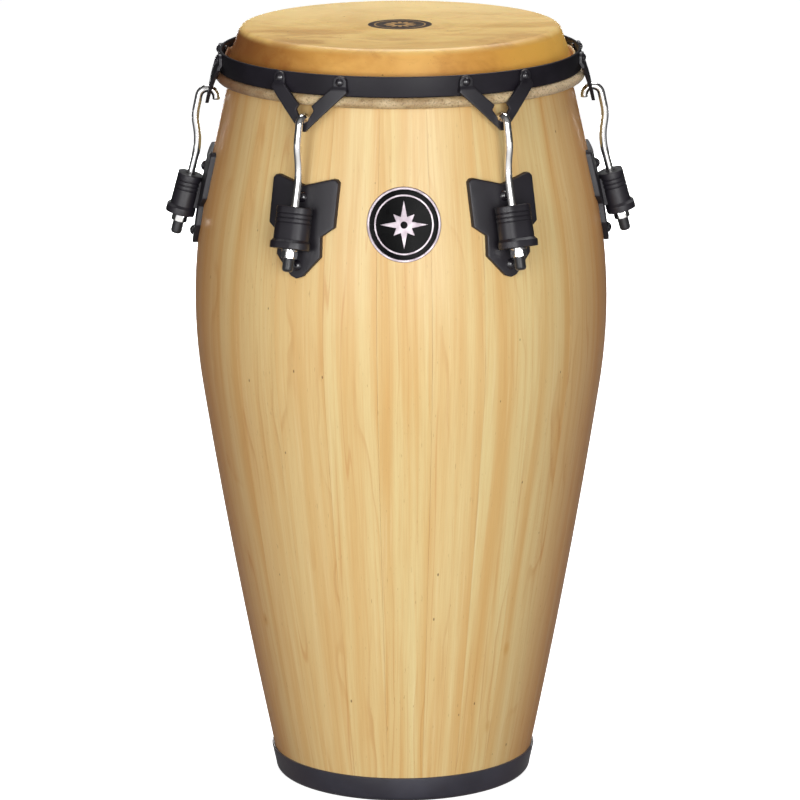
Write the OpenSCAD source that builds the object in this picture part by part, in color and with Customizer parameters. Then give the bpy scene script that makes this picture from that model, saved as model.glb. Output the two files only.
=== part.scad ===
// Conga drum: staved hardwood shell, rubber foot, rawhide head on a steel flesh hoop, a low rim
// with riveted claws, and hook rods pulled down through cast lugs on the shell.
// Millimetres, +Z up, origin at the centre of the foot on the floor. The badge faces -Y.
// Lug station 1 is on +X and the others follow anticlockwise seen from above.

/* [Shell] */
// Overall height, floor to playing surface
drum_h = 711.2; // [705:0.1:716]
// Outside radius of the shell at the belly
belly_r = 191.5; // [188:0.5:194]
// Height of the belly's widest point
belly_z = 454.8; // [450:0.2:460]
// Radius of the belly's side curve
belly_arc = 521.5; // [515:0.5:528]
// Slope of the straight neck below the head, degrees from vertical
neck_angle = 12.5; // [12.2:0.1:12.8]
// Slope where the belly's curve gives way to the long foot curve
foot_angle = 8.7; // [8.5:0.1:8.9]
// Radius of the long, nearly straight curve down to the foot
foot_arc = 6620; // [6000:20:7200]
// Thickness of the staves
wall = 12.5; // [10:0.5:14]
// Number of staves
staves = 24; // [24, 48]
// Radius of the bearing edge that the head bends over
edge_r = 5; // [4.5:0.1:5.5]
// Height of the rubber foot
foot_h = 24; // [20:0.5:28]

/* [Head and rim] */
// Thickness of the head skin
skin_t = 2.2; // [1.8:0.1:2.4]
// Outside radius of the head where it passes the rim's top
head_r = 154.6; // [154.3:0.1:154.8]
// Slope of the head's collar, degrees from vertical
collar_angle = 20; // [19.5:0.1:20.5]
// Outside radius of the rim band
rim_r = 167.2; // [167:0.1:167.5]
// Thickness of the rim band
rim_t = 3.2; // [2.5:0.1:3.4]
// Height of the rim band's lower edge
rim_z = 671.3; // [671.3:0.1:672]
// Height of the rim band
rim_h = 18.8; // [17:0.1:20]
// Thickness of the claw plates
claw_t = 3; // [2.5:0.1:3]
// Slope of the claw below its bend, degrees from vertical
claw_angle = 11.3; // [11:0.1:11.5]

/* [Lugs] */
// Number of tuning stations
lugs = 6; // [6]
// Tilt of the tuning rods, degrees from vertical
rod_tilt = 14.8; // [14.4:0.1:15.2]
// Radius of the plain rod
rod_r = 3.5; // [3.3:0.1:3.6]
// Radius of the threaded rod end
thread_r = 3.9; // [3.8:0.05:4]
// Radius of the hook's crook, to the middle of the rod
crook_r = 8; // [7.8:0.1:8.2]
// Thickness of the lug plates
plate_t = 5; // [4:0.5:5]
// Width across the flats of the tuning nuts
nut_w = 13; // [12.5:0.1:13]

/* [Badge] */
// Diameter of the badge
badge_d = 66.5; // [60:0.5:70]
// Height of the badge's centre
badge_z = 559.2; // [550:0.2:565]

/* [Hidden] */
$fn = 96;
arc_fn = 256;
far = 300;                         // beyond every radius in the drum
layer_in = 120;                    // a radius inside everything fixed to the shell's side,
layer_out = 220;                   // and one outside it
glue = 0.05;                       // gap between glued or seated pieces
wood_top = drum_h - skin_t;        // top of the staves
wood_z = 4;                        // the staves stand on the foot's floor

// Side curve of the shell
belly_c = belly_r - belly_arc;
foot_join_z = belly_z - belly_arc * sin(foot_angle);
foot_cr = belly_c + (belly_arc - foot_arc) * cos(foot_angle);
foot_cz = foot_join_z + foot_arc * sin(foot_angle);
function neck_r(d, z) = belly_c + ((belly_arc + d) - (z - belly_z) * sin(neck_angle))
    / cos(neck_angle);
function shell_r(z) = z > belly_z + belly_arc * sin(neck_angle) ? neck_r(0, z)
    : z > foot_join_z ? belly_c + sqrt(pow(belly_arc, 2) - pow(z - belly_z, 2))
    : foot_cr + sqrt(pow(foot_arc, 2) - pow(z - foot_cz, 2));
function shell_slope(z) = z > belly_z + belly_arc * sin(neck_angle) ? neck_angle
    : asin((z - belly_z) / belly_arc);

// Bearing edge: the round that joins the collar's slope to the flat top
head_z = 690;
edge_z = wood_top - edge_r;
edge_c = head_r - (edge_z - head_z) * tan(collar_angle) - (edge_r + skin_t) / cos(collar_angle);

// Rim, claws and rivets
rim_in = rim_r - rim_t;
bend_z = 680.5;
claw_jog = 2;                      // the bend first steps the claw outwards by this much
rivet_turn = 10.56;                // each rivet's turn away from its station
rivet_z = 684.4;
rivet_r = 2.4;
rivet_head = [3.8, 2.6];           // radius and height of its domed head
rivet_tail = [3.6, 1.2];           // and of the head inside the band
ear_in = 25.2;
ear_out = 37.2;
arm_out = 38.8;
ear_top = 689.8;
ear_round = 5.5;
slot_r = 4.7;
slot_z = 651.2;
claw_tip = 639.3;

// Flesh hoop and the roll of skin round it
hoop_c = 165.8;
hoop_z = 666.2;
hoop_r = 2.9;
roll_r = 5;
flap_in = 159.8;
flap_t = 1.7;
flap_top = 686.5;

// Tuning rods, in the vertical plane through each station
axis_r = 193.8;                    // the rod's axis passes here at the height axis_z
axis_z = 575;
crook_c = 177.9;
crook_z = 644.6;
lead_angle = 12;                   // the rod leaves the crook outwards,
lead_l = 12.5;
in_angle = 8.5;                    // swings back in,
in_arc = 40;
out_arc = 60;                      // and turns out again to the barrel's tilt
arc1 = [crook_c + crook_r * cos(lead_angle) + lead_l * sin(lead_angle),
        crook_z + crook_r * sin(lead_angle) - lead_l * cos(lead_angle)];
arc1_c = arc1 - in_arc * [cos(lead_angle), sin(lead_angle)];
arc1_end = arc1_c + in_arc * [cos(in_angle), -sin(in_angle)];
arcs_turn = out_arc * [cos(in_angle) - cos(rod_tilt), -sin(rod_tilt) - sin(in_angle)];
mid_l = (arc1_end[0] + arcs_turn[0] - axis_r
    + (arc1_end[1] + arcs_turn[1] - axis_z) * tan(rod_tilt))
    / (sin(in_angle) + cos(in_angle) * tan(rod_tilt));
arc2 = arc1_end - mid_l * [sin(in_angle), cos(in_angle)];
arc2_c = arc2 + out_arc * [cos(in_angle), -sin(in_angle)];
arc2_end = arc2_c - out_arc * [cos(rod_tilt), sin(rod_tilt)];

// Distances down the rod's axis from its point at axis_z
barrel_top = 1.8;
barrel_end = 39.8;
washer_t = 1.5;
nut_top = 41.4;
nut_h = 6.5;
cap_top = nut_top + nut_h + 0.2;
cap_l = 12;
cap_r = 5.1;
thread_top = 6;
lap = 0.3;                         // straight rod lapped into its bends
rod_end = cap_top + 9;

// Barrel section: two round ends joined by flats
oval_r = 11.7;
oval_half_w = 16.8;
bore_r = 4.4;
web_w = 22;

// Lug plate and its bolts
bolt_zs = [579.5, 519.3];
bolt_r = 3;
bolt_head = [4.9, 3.6];            // radius and height of its domed head
bolt_hole = 3.3;
bolt_nut_w = 10;
bolt_nut_h = 5;
backing_t = 3;
backing_w = 28;
backing_h = 86;
backing_z = 507;                   // height of its lower edge
lug_low = 500;                     // heights below and above every lug plate
lug_high = 605;
washer_r = 6;
thin_washer = 1.2;
washer_seat = 0.2;                 // a flat washer stands this far off the curved plate's middle

// ---- Helpers ----

// Points round an arc
function arc(c, r, a0, a1, n) =
    [for (k = [0:n]) let (a = a0 + (a1 - a0) * k / n) c + r * [cos(a), sin(a)]];

// Lug station i, turned round the drum's axis
module station(i) { rotate([0, 0, 360 / lugs * (i - 1)]) children(); }

// A flat outline (sideways, up) pushed outwards from r0 to r1 at station 1
module radial_prism(r0, r1) {
    rotate([90, 0, 90]) translate([0, 0, r0]) linear_extrude(r1 - r0) children();
}

// A slice of a solid of revolution, centred on station 1
module sector(turn) { rotate([0, 0, -turn / 2]) rotate_extrude(angle = turn) children(); }

// The half section inside the shell's side curve, grown by d
module side_form(d) {
    neck_z = belly_z + (belly_arc + d) * sin(neck_angle);
    foot_z = belly_z - (belly_arc + d) * sin(foot_angle);
    polygon([[0, neck_z], [neck_r(d, neck_z), neck_z], [neck_r(d, drum_h + 9), drum_h + 9],
             [0, drum_h + 9]]);
    intersection() {
        translate([belly_c, belly_z]) circle(belly_arc + d, $fn = arc_fn);
        translate([0, foot_z]) square([far, neck_z - foot_z]);
    }
    intersection() {
        translate([foot_cr, foot_cz]) circle(foot_arc + d, $fn = arc_fn);
        translate([0, -9]) square([far, foot_z + 9]);
    }
}

// The collar's slope from height z0 up, closed over the bearing edge
module head_form(d, z0) {
    low_r = edge_c + (edge_r + d) / cos(collar_angle) + (edge_z - z0) * tan(collar_angle);
    polygon(concat([[0, z0], [low_r, z0]],
        arc([edge_c, edge_z], edge_r + d, collar_angle, 90, 6), [[0, wood_top + d]]));
}

// A layer over the shell, from d0 to d1 outside its surface, where it meets a radial outline
module shell_layer(d0, d1, z0, z1, turn) {
    intersection() {
        sector(turn) intersection() {
            difference() { side_form(d1); side_form(d0); }
            translate([0, z0]) square([far, z1 - z0]);
        }
        radial_prism(layer_in, layer_out) children();
    }
}

// A low dome that stands on z = 0
module dome(r, h) {
    ball = (r * r + h * h) / (2 * h);
    rotate_extrude() intersection() {
        translate([0, h - ball]) circle(ball);
        square([r, h]);
    }
}

// A hexagon nut with chamfered corners, standing on z = 0
module hex_nut(w, h, hole) {
    corner = w / 2 / cos(30);
    rise = (corner - w / 2) * tan(30);
    difference() {
        intersection() {
            linear_extrude(h) circle(corner, $fn = 6);
            rotate_extrude() polygon([[0, 0], [w / 2, 0], [corner + 0.01, rise],
                [corner + 0.01, h - rise], [w / 2, h], [0, h]]);
        }
        translate([0, 0, -1]) cylinder(r = hole, h = h + 2);
    }
}

module tube(ro, ri, h) {
    difference() {
        cylinder(r = ro, h = h);
        translate([0, 0, -1]) cylinder(r = ri, h = h + 2);
    }
}

// Plate bolt k's own frame at station 1: its origin on the shell, +Z outwards
module bolt_frame(k) {
    z = bolt_zs[k];
    translate([shell_r(z), 0, z]) rotate([0, 90 - shell_slope(z), 0]) children();
}

module every_bolt() {
    for (i = [1:lugs], k = [0, 1]) station(i) bolt_frame(k) children();
}

// A rod axis's own frame at station 1: +Z up the axis, origin a distance t down from axis_z
module rod_frame(t) {
    translate([axis_r, 0, axis_z]) rotate([0, -rod_tilt, 0]) translate([0, 0, -t]) children();
}

// ---- Shell ----

module shell_staves() {
    color("burlywood") difference() {
        for (k = [0:staves - 1]) rotate([0, 0, k * 360 / staves])
            sector(360 / staves - 0.03) difference() {
                intersection() { side_form(0); head_form(0, wood_z); }
                side_form(-wall);
            }
        every_bolt() translate([0, 0, -wall - 3]) cylinder(r = bolt_hole, h = wall + 6);
    }
}

module foot_bumper() {
    round_r = 6;
    lip = 2.3;
    color("dimgray") rotate_extrude() polygon(concat([[shell_r(wood_z) - wall, 0]],
        arc([shell_r(round_r) + lip - round_r, round_r], round_r, -90, 0, 6),
        [[shell_r(foot_h) + lip, foot_h - 0.8], [shell_r(foot_h) + lip - 0.7, foot_h],
         [shell_r(foot_h) + glue, foot_h], [shell_r(wood_z) + glue, wood_z],
         [shell_r(wood_z) - wall, wood_z]]));
}

module badge_bezel() {
    color("silver") rotate([0, 0, -90])
        shell_layer(glue, 1.7, badge_z - badge_d, badge_z + badge_d, 30) translate([0, badge_z])
            difference() { circle(badge_d / 2); circle(badge_d / 2 - 2.4); }
}

module badge_face() {
    color("black") rotate([0, 0, -90])
        shell_layer(glue, 1.2, badge_z - badge_d, badge_z + badge_d, 30)
            translate([0, badge_z]) circle(badge_d / 2 - 2.4 - glue);
}

// ---- Lugs, fixed to the shell ----

module plate_outline() {
    side = [[6, 509.9], [22.4, 528], [21.5, 546.3], [33.4, 555], [33.6, 594.5], [31, 597.2],
            [27.5, 597.6], [0, 590.4]];
    polygon(concat([[0, 507.8]], side, [for (k = [len(side) - 2:-1:0]) [-side[k][0], side[k][1]]]));
}

module lug_plate(i) {
    color("#26232a") station(i) difference() {
        shell_layer(glue, plate_t, lug_low, lug_high, 30) plate_outline();
        for (k = [0, 1]) bolt_frame(k) cylinder(r = bolt_hole, h = 12);
    }
}

// The barrel's oval section, grown and shifted outwards
module oval(grow, shift) {
    flat = 2 * (oval_half_w - oval_r);
    translate([shift, 0]) {
        for (s = [-1, 1]) translate([0, s * flat / 2]) circle(oval_r + grow);
        square([2 * (oval_r + grow), flat], center = true);
    }
}

module lug_barrel(i) {
    // each step of the barrel: top and end down the axis, growth, outward shift
    steps = [[barrel_top, 3, -1, 0], [3, 7.6, 0, 0], [7.6, 8.6, -0.8, 0], [8.6, 11.6, 0, 0],
             [11.6, 12.6, -0.8, 0], [12.6, 15.6, 0, 0], [15.6, 16.6, -0.8, 0],
             [16.6, 31.5, 0, 0], [31.5, 33, 0.9, 0.4], [33, 38.6, 1.9, 0.9],
             [38.6, barrel_end, 0.6, 0.4]];
    color("#26232a") station(i) difference() {
        union() {
            for (s = steps) rod_frame(s[1]) linear_extrude(s[1] - s[0]) oval(s[2], s[3]);
            rod_frame(31) translate([-26, -web_w / 2, 0]) cube([26, web_w, 26]);
        }
        rod_frame(barrel_end + 5) cylinder(r = bore_r, h = barrel_end + 10);
        sector(40) intersection() {
            side_form(plate_t + glue);
            translate([0, lug_low]) square([far, lug_high - lug_low]);
        }
    }
}

module backing_plates() {
    color("gray") difference() {
        for (i = [1:lugs]) station(i)
            shell_layer(-wall - backing_t, -wall - glue, lug_low, lug_high, 30)
                translate([-backing_w / 2, backing_z]) square([backing_w, backing_h]);
        every_bolt() translate([0, 0, -wall - 9]) cylinder(r = bolt_hole, h = 16);
    }
}

module plate_bolts() {
    shank = wall + backing_t + plate_t + bolt_nut_h + 4;
    color("#26232a") every_bolt() {
        translate([0, 0, plate_t + glue]) dome(bolt_head[0], bolt_head[1]);
        translate([0, 0, plate_t + glue - shank]) cylinder(r = bolt_r, h = shank + 0.5);
    }
}

module plate_washers() {
    color("silver") every_bolt() translate([0, 0, -wall - backing_t - washer_seat - thin_washer])
        tube(washer_r, bolt_r + 0.2, thin_washer);
}

module plate_nuts() {
    down = wall + backing_t + washer_seat + thin_washer + glue + bolt_nut_h;
    color("silver") every_bolt() translate([0, 0, -down])
        hex_nut(bolt_nut_w, bolt_nut_h, bolt_r + 0.02);
}

module tuning_washers() {
    color("silver") for (i = [1:lugs]) station(i)
        rod_frame(barrel_end + washer_t) tube(7.5, 4.3, washer_t);
}

// ---- Rim ----

module rim_band() {
    soft = 1;
    color("#26232a") difference() {
        rotate_extrude() polygon(concat(
            arc([rim_in + soft, rim_z + soft], soft, 180, 270, 3),
            arc([rim_r - soft, rim_z + soft], soft, -90, 0, 3),
            arc([rim_r - soft, rim_z + rim_h - soft], soft, 0, 90, 3),
            arc([rim_in + soft, rim_z + rim_h - soft], soft, 90, 180, 3)));
        every_rivet() translate([0, 0, -rim_t - 3]) cylinder(r = rivet_r + glue, h = rim_t + 8);
    }
}

// Each rivet's frame: its origin on the band's outside, +Z outwards
module rivet_pair() {
    for (s = [-1, 1]) rotate([0, 0, s * rivet_turn])
        translate([rim_r, 0, rivet_z]) rotate([0, 90, 0]) children();
}

module every_rivet() { for (i = [1:lugs]) station(i) rivet_pair() children(); }

module rim_rivets() {
    color("#26232a") every_rivet() {
        translate([0, 0, claw_t + glue]) dome(rivet_head[0], rivet_head[1]);
        translate([0, 0, -rim_t - 0.6]) cylinder(r = rivet_r, h = rim_t + claw_t + 1);
        translate([0, 0, -rim_t - rivet_tail[1] - glue])
            cylinder(r = rivet_tail[0], h = rivet_tail[1]);
    }
}

// Half of the claw's outline, from the tip up over the ear and down into the slot
claw_half = concat(
    [[0, claw_tip], [2.6, claw_tip], [4.6, claw_tip + 2.1], [arm_out, 675.5], [ear_out, 680.5]],
    arc([ear_out - ear_round, ear_top - ear_round], ear_round, 0, 90, 5),
    arc([ear_in + ear_round, ear_top - ear_round], ear_round, 90, 180, 5),
    [[ear_in, 679.5], [6.5, 662.3], [8.8, 658.8], [8.8, 657.6]],
    arc([0, slot_z], slot_r, 0, -90, 8));

module rim_claw(i) {
    outer = rim_r + glue + claw_t;
    low = claw_tip - 2;
    foot_r = outer + claw_jog + (bend_z - claw_jog - low) * tan(claw_angle);
    inner_bend = bend_z - claw_t * tan(22.5);
    inner_step = [outer + claw_jog, bend_z - claw_jog]
        - claw_t / cos(22.5 - claw_angle / 2) * [cos(22.5 + claw_angle / 2), sin(22.5 + claw_angle / 2)];
    n = len(claw_half);
    color("#26232a") station(i) difference() {
        intersection() {
            sector(30) polygon([[outer - claw_t, ear_top + 2], [outer, ear_top + 2],
                [outer, bend_z], [outer + claw_jog, bend_z - claw_jog], [foot_r, low],
                [foot_r - claw_t / cos(claw_angle), low], inner_step, [outer - claw_t, inner_bend]]);
            radial_prism(140, 200)
                polygon(concat(claw_half, [for (k = [n - 2:-1:1]) [-claw_half[k][0], claw_half[k][1]]]));
        }
        rivet_pair() cylinder(r = rivet_r + glue, h = 8);
    }
}

module flesh_hoop() {
    color("lightgray") rotate_extrude() translate([hoop_c, hoop_z]) circle(hoop_r);
}

module head_skin() {
    collar_low = hoop_z - 2;
    color("goldenrod") rotate_extrude() difference() {
        union() {
            difference() {
                head_form(skin_t, collar_low);
                head_form(glue, collar_low - 1);
            }
            // the skin wraps the hoop and its trimmed edge is tucked up outside the collar
            translate([hoop_c, hoop_z]) circle(roll_r);
            translate([flap_in, hoop_z + 4]) square([flap_t, flap_top - hoop_z - 4]);
        }
        translate([hoop_c, hoop_z]) circle(hoop_r + glue);
    }
}

// ---- Tuning hooks ----

// Part of a ring of rod, in the vertical plane through the station, from angle a0 to a1
module rod_bend(c, r, a0, a1) {
    translate([c[0], 0, c[1]]) rotate([90, 0, 0]) rotate([0, 0, a0])
        rotate_extrude(angle = a1 - a0) translate([r, 0]) circle(rod_r, $fn = 48);
}

// A straight stretch that starts at p and runs down, leaning outwards, lapped into its neighbours
module rod_run(p, lean, l) {
    translate([p[0], 0, p[1]]) rotate([0, 180 - lean, 0]) translate([0, 0, -lap])
        cylinder(r = rod_r + 0.02, h = l + 2 * lap, $fn = 48);
}

module tension_hook(i) {
    tip_l = 2.5;
    tip_cut = 0.8;
    axis_len = (arc2_end[1] - axis_z) / cos(rod_tilt);
    color("silver") station(i) {
        rod_run([crook_c - crook_r, crook_z], 0, tip_l - tip_cut - lap);
        translate([crook_c - crook_r, 0, crook_z - tip_l])
            cylinder(r1 = rod_r - tip_cut, r2 = rod_r + 0.02, h = tip_cut, $fn = 48);
        rod_bend([crook_c, crook_z], crook_r, lead_angle, 180);
        rod_run(arc1 + lead_l * [-sin(lead_angle), cos(lead_angle)], lead_angle, lead_l);
        rod_bend(arc1_c, in_arc, -in_angle, lead_angle);
        rod_run(arc1_end, -in_angle, mid_l);
        rod_bend(arc2_c, out_arc, 180 - in_angle, 180 + rod_tilt);
        rod_run(arc2_end, rod_tilt, axis_len + thread_top);
        rod_frame(rod_end) cylinder(r = thread_r, h = rod_end - thread_top, $fn = 48);
    }
}

module rod_cap(i) {
    color("#1c1c1e") station(i) rod_frame(cap_top + cap_l) difference() {
        rotate_extrude() polygon(concat([[0, 0]], arc([cap_r - 3, 3], 3, -90, 0, 6),
            [[cap_r, cap_l], [0, cap_l]]));
        translate([0, 0, cap_l - 9 - glue]) cylinder(r = thread_r + glue, h = 12);
    }
}

module tuning_nut(i) {
    color("silver") station(i) rod_frame(nut_top + nut_h) hex_nut(nut_w, nut_h, thread_r + glue);
}

// ---- Output ----

shell_staves();
foot_bumper();
badge_bezel();
badge_face();
backing_plates();
plate_bolts();
plate_washers();
plate_nuts();
tuning_washers();
rim_band();
rim_rivets();
flesh_hoop();
head_skin();
for (i = [1:lugs]) {
    lug_plate(i);
    lug_barrel(i);
    rim_claw(i);
    tension_hook(i);
    rod_cap(i);
    tuning_nut(i);
}
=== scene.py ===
"""The looks of a conga drum: a staved shell, a rawhide head, black hardware and chromed rods."""

import math

import bmesh
import bpy
from mathutils import Matrix, Vector, noise
from mathutils.geometry import delaunay_2d_cdt

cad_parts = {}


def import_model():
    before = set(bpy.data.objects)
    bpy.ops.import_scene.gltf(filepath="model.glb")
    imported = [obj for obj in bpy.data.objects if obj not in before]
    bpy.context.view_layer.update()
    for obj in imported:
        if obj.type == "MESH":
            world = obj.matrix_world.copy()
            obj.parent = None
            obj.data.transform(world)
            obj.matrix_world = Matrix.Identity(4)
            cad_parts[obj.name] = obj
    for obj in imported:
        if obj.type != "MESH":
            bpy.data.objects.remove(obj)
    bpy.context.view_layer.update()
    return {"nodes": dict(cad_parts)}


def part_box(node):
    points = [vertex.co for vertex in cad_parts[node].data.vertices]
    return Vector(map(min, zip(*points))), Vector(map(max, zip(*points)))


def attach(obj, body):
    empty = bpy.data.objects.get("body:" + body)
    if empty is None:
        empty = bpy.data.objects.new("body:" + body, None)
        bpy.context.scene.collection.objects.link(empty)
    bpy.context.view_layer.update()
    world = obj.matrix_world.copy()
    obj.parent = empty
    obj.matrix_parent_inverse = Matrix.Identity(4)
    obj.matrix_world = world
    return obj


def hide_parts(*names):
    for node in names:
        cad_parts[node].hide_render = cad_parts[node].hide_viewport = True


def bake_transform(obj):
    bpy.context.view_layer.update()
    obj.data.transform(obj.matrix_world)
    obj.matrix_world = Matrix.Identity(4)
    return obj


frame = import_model()

# ---- Sizes. Builders work in millimetres, and piece() turns them into Blender's metres. ----

MM = 0.001
STATIONS = range(1, 7)
STAVES = 24
GLUE = 0.05


def span(node):
    """Lowest and highest corner of a CAD node, in millimetres."""
    low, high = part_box(node)
    return low / MM, high / MM


DRUM_H = span("head_skin")[1].z
BELLY_R = span("shell_staves")[1].x
WOOD_LOW, WOOD_TOP = span("shell_staves")[0].z, span("shell_staves")[1].z
SKIN_T = DRUM_H - WOOD_TOP
FOOT_H = span("foot_bumper")[1].z
FOOT_R = span("foot_bumper")[1].x
RIM_LOW, RIM_TOP = span("rim_band")[0].z, span("rim_band")[1].z
RIM_R = span("rim_band")[1].x
HOOP_LOW, HOOP_HIGH = span("flesh_hoop")
HOOP_R = (HOOP_HIGH.z - HOOP_LOW.z) / 2
HOOP_Z = HOOP_LOW.z + HOOP_R
HOOP_C = HOOP_HIGH.x - HOOP_R
ROLL_R = span("head_skin")[1].x - HOOP_C
CLAW_LOW, CLAW_TOP = span("rim_claw_1")[0].z, span("rim_claw_1")[1].z
BADGE_LOW, BADGE_HIGH = span("badge_bezel")
BADGE_Z = (BADGE_LOW.z + BADGE_HIGH.z) / 2
BADGE_R = BADGE_HIGH.x

# Side curve of the shell
WALL = 12.5
BELLY_Z = 454.8
BELLY_ARC = 521.5
FOOT_ARC = 6620
NECK_A = math.radians(12.5)
FOOT_A = math.radians(8.7)
BELLY_C = BELLY_R - BELLY_ARC
FOOT_CR = BELLY_C + (BELLY_ARC - FOOT_ARC) * math.cos(FOOT_A)
FOOT_CZ = BELLY_Z + (FOOT_ARC - BELLY_ARC) * math.sin(FOOT_A)

# Head: its outside radius at one height, the collar's slope and the round bearing edge
HEAD_R, HEAD_Z = 154.6, 690
COLLAR_A = math.radians(20)
EDGE_R = 5
EDGE_Z = WOOD_TOP - EDGE_R
EDGE_C = HEAD_R - (EDGE_Z - HEAD_Z) * math.tan(COLLAR_A) - (EDGE_R + SKIN_T) / math.cos(COLLAR_A)
FLAP_IN, FLAP_T, FLAP_TOP = 159.8, 1.7, 686.5

# Rim parts
RIM_T = 3.2
CLAW_T = 3
CLAW_A = math.radians(11.3)
BEND_Z, CLAW_JOG = 680.5, 2
EAR_IN, EAR_OUT, EAR_ROUND = 25.2, 37.2, 5.5
ARM_OUT = 38.8
SLOT_R, SLOT_Z = 4.7, 651.2
RIVET_TURN = 10.56
RIVET_Z = 684.4

# Tuning rods, in the vertical plane through each station
ROD_TILT = math.radians(14.8)
ROD_R = 3.5
THREAD_R = 3.9
AXIS = Vector((193.8, 0, 575))
CROOK = Vector((177.9, 644.6))
CROOK_R = 8
LEAD_A, LEAD_L = math.radians(12), 12.5
IN_A, IN_ARC, OUT_ARC = math.radians(8.5), 40, 60
TIP_L = 2.5

# Distances down the rod's axis
BARREL_TOP, BARREL_END = 1.8, 39.8
THREAD_TOP = 6
WASHER_T = 1.5
NUT_TOP, NUT_H, NUT_W = 41.4, 6.5, 13
CAP_TOP, CAP_L, CAP_R = 48.1, 12, 5.1
ROD_END = 57.1
OVAL_R, OVAL_HALF_W = 11.7, 16.8
BORE_R = 4.4
BARREL_COUNT = 72

# Lug plates and bolts
PLATE_T = 5
BOLT_ZS = (579.5, 519.3)

# Badge
RING_W, RING_T = 2.4, 1.65
DISC_T = 1.15


def side_r(z, grow=0.0):
    """Radius of the shell's side curve, grown outwards, at a height."""
    belly = BELLY_ARC + grow
    above = z - BELLY_Z
    if above > belly * math.sin(NECK_A):
        return BELLY_C + (belly - above * math.sin(NECK_A)) / math.cos(NECK_A)
    if above > -belly * math.sin(FOOT_A):
        return BELLY_C + math.sqrt(belly ** 2 - above ** 2)
    return FOOT_CR + math.sqrt((FOOT_ARC + grow) ** 2 - (z - FOOT_CZ) ** 2)


def collar_r(z, grow=0.0):
    """Radius of the collar's slope over the bearing edge, grown outwards, at a height."""
    return EDGE_C + (EDGE_R + grow) / math.cos(COLLAR_A) + (EDGE_Z - z) * math.tan(COLLAR_A)


def side_slope(z):
    """Slope of the side curve from vertical, positive where the shell narrows upwards."""
    return min(NECK_A, math.asin((z - BELLY_Z) / BELLY_ARC))


# ---- Outlines ----

def arc(cx, cy, r, start, end, steps):
    """Points round an arc, angles in degrees."""
    turns = [math.radians(start + (end - start) * k / steps) for k in range(steps + 1)]
    return [(cx + r * math.cos(a), cy + r * math.sin(a)) for a in turns]


def rounded(points, radius, closed=True, steps=3):
    """A 2D outline with its corners rounded, as far as its edges' lengths allow."""
    out = []
    last = len(points) - 1
    for k, corner in enumerate(points):
        if not closed and k in (0, last):
            out.append(corner)
            continue
        here = Vector(corner)
        back = Vector(points[k - 1]) - here
        ahead = Vector(points[(k + 1) % len(points)]) - here
        half = back.angle(ahead) / 2
        if half > math.radians(87):
            out.append(corner)
            continue
        cut = min(radius / math.tan(half), back.length * 0.45, ahead.length * 0.45)
        first, final = here + back.normalized() * cut, here + ahead.normalized() * cut
        for s in range(steps + 1):
            t = s / steps
            point = first * (1 - t) ** 2 + here * 2 * t * (1 - t) + final * t ** 2
            out.append(tuple(point))
    return out


def refined(outline, step):
    """The same closed outline with no edge longer than step."""
    out = []
    for k, point in enumerate(outline):
        a, b = Vector(point), Vector(outline[(k + 1) % len(outline)])
        count = max(1, math.ceil((b - a).length / step))
        out += [tuple(a.lerp(b, s / count)) for s in range(count)]
    return out


def inset(outline, distance):
    """An anticlockwise outline moved inwards."""
    out = []
    for k, point in enumerate(outline):
        here = Vector(point)
        before = (here - Vector(outline[k - 1])).normalized()
        after = (Vector(outline[(k + 1) % len(outline)]) - here).normalized()
        n = Vector((-before.y - after.y, before.x + after.x)).normalized()
        lean = max(0.4, n.dot(Vector((-after.y, after.x))))
        out.append(tuple(here + n * distance / lean))
    return out


def mirrored(half):
    """A closed anticlockwise outline from its right half, given from the bottom up."""
    return list(half) + [(-x, y) for x, y in reversed(half) if abs(x) > 1e-6]


# ---- Mesh parts: (points, faces) in millimetres ----

def skin(rows, close_rows=False, cap_ends=False):
    """Faces over rows of points, each row a closed ring."""
    n = len(rows[0])
    points = [p for row in rows for p in row]
    faces = []
    for r in range(len(rows) if close_rows else len(rows) - 1):
        a, b = r * n, (r + 1) % len(rows) * n
        faces += [[a + k, a + (k + 1) % n, b + (k + 1) % n, b + k] for k in range(n)]
    if cap_ends:
        faces.append(list(range(n)))
        faces.append([len(points) - 1 - k for k in range(n)])
    return points, faces


def lathe(profile, count, closed=True):
    """A profile of (radius, height) points turned round the z axis."""
    turns = [2 * math.pi * k / count for k in range(count)]
    rows = [[(r * math.cos(a), r * math.sin(a), z) for a in turns] for r, z in profile]
    return skin(rows, close_rows=closed, cap_ends=not closed)


def moved(part, matrix):
    """The same part, its points put through a matrix."""
    return [tuple(matrix @ Vector(p)) for p in part[0]], part[1]


def turned(part, degrees):
    """The same part turned round the drum's axis."""
    return moved(part, Matrix.Rotation(math.radians(degrees), 4, "Z"))


def at_station(part, i):
    """A part made at station 1, turned to station i."""
    return turned(part, 60 * (i - 1))


def rod_frame(down):
    """A rod axis's own frame at station 1: +Z up the axis, origin a distance down it."""
    return Matrix.Translation(AXIS) @ Matrix.Rotation(-ROD_TILT, 4, "Y") @ Matrix.Translation((0, 0, -down))


def bolt_frame(z):
    """A plate bolt's frame at station 1: origin on the shell, +Z outwards."""
    lean = Matrix.Rotation(math.pi / 2 - side_slope(z), 4, "Y")
    return Matrix.Translation((side_r(z), 0, z)) @ lean


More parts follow.
